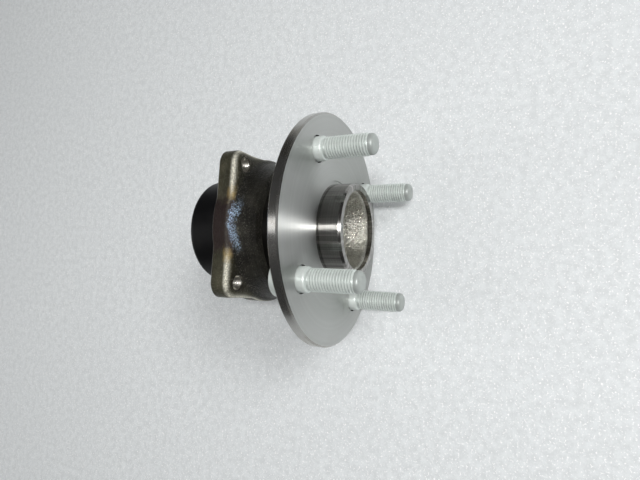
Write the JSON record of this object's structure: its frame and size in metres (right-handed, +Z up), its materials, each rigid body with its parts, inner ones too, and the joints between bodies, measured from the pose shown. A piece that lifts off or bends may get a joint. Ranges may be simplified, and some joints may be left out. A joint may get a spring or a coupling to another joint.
{
  "type": "wheel hub bearing",
  "caption": "Flanged wheel hub turning in a forged outer ring on sealed double-row ball bearings, with wheel studs, a centring pilot and a threaded square mounting flange.",
  "frame": {"origin": "centre of the wheel seating face, on the spin axis", "axes": "Y along the spin axis: -Y towards the wheel, +Y towards the axle; +Z up; the square mounting flange is parallel to X and Z"},
  "size_m": [0.1344, 0.117, 0.1344],
  "materials": {
    "hub_steel": "fine turned and ground steel with a forged recess",
    "housing_forging": "dark brown oxide forging with heat tint",
    "bearing_steel": "ground and polished bearing steel",
    "nut_steel": "zinc plated",
    "stud_zinc": "matt zinc flake coating",
    "cap_black": "black coated steel",
    "seal_steel": "stamped steel",
    "seal_rubber": "nitrile rubber",
    "cage_polymer": "glass filled nylon"
  },
  "bodies": {
    "housing": {"outer_ring": "housing_forging", "seal_case": "seal_steel", "seal_lips": "seal_rubber", "rear_cap": "cap_black"},
    "hub": {"wheel_hub": "hub_steel", "wheel_stud_1": "stud_zinc", "wheel_stud_2": "stud_zinc", "wheel_stud_3": "stud_zinc", "wheel_stud_4": "stud_zinc", "inner_ring": "bearing_steel", "hub_nut": "nut_steel"},
    "outboard_balls": {"outboard_cage": "cage_polymer", "outboard_ball_01": "bearing_steel", "outboard_ball_02": "bearing_steel", "outboard_ball_03": "bearing_steel", "outboard_ball_04": "bearing_steel", "outboard_ball_05": "bearing_steel", "outboard_ball_06": "bearing_steel", "outboard_ball_07": "bearing_steel", "outboard_ball_08": "bearing_steel", "outboard_ball_09": "bearing_steel", "outboard_ball_10": "bearing_steel", "outboard_ball_11": "bearing_steel", "outboard_ball_12": "bearing_steel"},
    "inboard_balls": {"inboard_cage": "cage_polymer", "inboard_ball_01": "bearing_steel", "inboard_ball_02": "bearing_steel", "inboard_ball_03": "bearing_steel", "inboard_ball_04": "bearing_steel", "inboard_ball_05": "bearing_steel", "inboard_ball_06": "bearing_steel", "inboard_ball_07": "bearing_steel", "inboard_ball_08": "bearing_steel", "inboard_ball_09": "bearing_steel", "inboard_ball_10": "bearing_steel", "inboard_ball_11": "bearing_steel", "inboard_ball_12": "bearing_steel"}
  },
  "joints": [
    {"name": "hub_spin", "type": "hinge", "parent": "housing", "child": "hub", "pos_m": [0, 0, 0], "axis": [0, 1, 0], "continuous": true},
    {"name": "outboard_balls_roll", "type": "hinge", "parent": "housing", "child": "outboard_balls", "pos_m": [0, 0.024, 0], "axis": [0, 1, 0], "continuous": true},
    {"name": "inboard_balls_roll", "type": "hinge", "parent": "housing", "child": "inboard_balls", "pos_m": [0, 0.046, 0], "axis": [0, 1, 0], "continuous": true}
  ],
  "couplings": [
    {"joint": "outboard_balls_roll", "follows": "hub_spin", "ratio": 0.4165},
    {"joint": "inboard_balls_roll", "follows": "hub_spin", "ratio": 0.4165}
  ]
}
